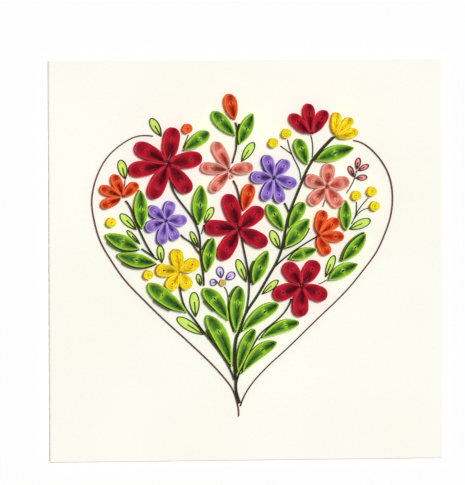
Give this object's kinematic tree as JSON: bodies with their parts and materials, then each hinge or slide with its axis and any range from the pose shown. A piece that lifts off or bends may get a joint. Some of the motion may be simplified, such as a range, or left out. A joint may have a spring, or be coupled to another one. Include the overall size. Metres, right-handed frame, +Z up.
{
  "type": "quilled paper greeting card",
  "caption": "Folded greeting card with a heart of quilled paper flowers, leaves, buds and berries standing on its front.",
  "frame": {"origin": "middle of the card's back, on the surface that the card lies on", "axes": "+Z up out of the card's front, +Y to the top of the picture, +X to its right, away from the fold"},
  "size_m": [0.15, 0.15, 0.0053],
  "materials": {
    "card_stock": "matt, fine fibre",
    "heart_strip": "matt",
    "stem_strip": "matt",
    "leaf_strip": "matt, shaded green",
    "leaf_edge_strip": "matt",
    "red_strip": "matt, shaded red",
    "coral_strip": "matt, shaded coral",
    "purple_strip": "matt, shaded purple",
    "yellow_strip": "matt, shaded yellow",
    "orange_strip": "matt, shaded orange",
    "flower_centre_strip": "matt",
    "outlined_leaf_strip": "matt",
    "outlined_leaf_paper": "matt",
    "lavender_strip": "matt",
    "lavender_paper": "matt",
    "sprig_strip": "matt",
    "sprig_paper": "matt"
  },
  "bodies": {
    "root": {"card": "card_stock", "coral_flower_centre": "flower_centre_strip", "coral_flower_right": "coral_strip", "coral_flower_upper": "coral_strip", "fine_stems": "stem_strip", "heart_outline_left": "heart_strip", "heart_outline_right": "heart_strip", "lavender_flower_centre": "flower_centre_strip", "lavender_flower_papers": "lavender_paper", "lavender_flower_strips": "lavender_strip", "leaf_base_left_lower": "leaf_strip", "leaf_base_left_upper": "leaf_strip", "leaf_base_middle": "leaf_strip", "leaf_base_right_inner": "leaf_strip", "leaf_base_right_lower": "leaf_strip", "leaf_base_right_middle": "leaf_strip", "leaf_base_right_upper": "leaf_strip", "leaf_berries": "leaf_strip", "leaf_bud_left": "leaf_strip", "leaf_bud_right": "leaf_strip", "leaf_centre_left_lower": "leaf_strip", "leaf_centre_left_upper": "leaf_strip", "leaf_centre_right": "leaf_strip", "leaf_edge_strips": "leaf_edge_strip", "leaf_far_right_lower": "leaf_strip", "leaf_far_right_upper": "leaf_strip", "leaf_left_lower": "leaf_strip", "leaf_left_middle": "leaf_strip", "leaf_left_upper": "leaf_strip", "leaf_orange_flower": "leaf_strip", "leaf_red_flower": "leaf_strip", "leaf_right_branch_left": "leaf_strip", "leaf_right_branch_lower": "leaf_strip", "leaf_right_branch_right": "leaf_strip", "leaf_tulip_left": "leaf_strip", "leaf_tulip_right": "leaf_strip", "leaf_yellow_flower": "leaf_strip", "main_stem": "stem_strip", "orange_berry": "orange_strip", "orange_bud_middle": "orange_strip", "orange_bud_top": "orange_strip", "orange_flower_left": "orange_strip", "orange_flower_right": "orange_strip", "outlined_leaf_papers": "outlined_leaf_paper", "outlined_leaf_strips": "outlined_leaf_strip", "pink_sprig_papers": "sprig_paper", "pink_sprig_strips": "sprig_strip", "purple_flower_left": "purple_strip", "purple_flower_right": "purple_strip", "red_flower_large": "red_strip", "red_flower_lower": "red_strip", "red_flower_middle": "red_strip", "red_tulip": "red_strip", "side_stems": "stem_strip", "yellow_berries_right": "yellow_strip", "yellow_berries_top": "yellow_strip", "yellow_berry_far_left": "yellow_strip", "yellow_berry_lower_left": "yellow_strip", "yellow_flower": "yellow_strip", "yellow_tulip": "yellow_strip"}
  },
  "joints": []
}
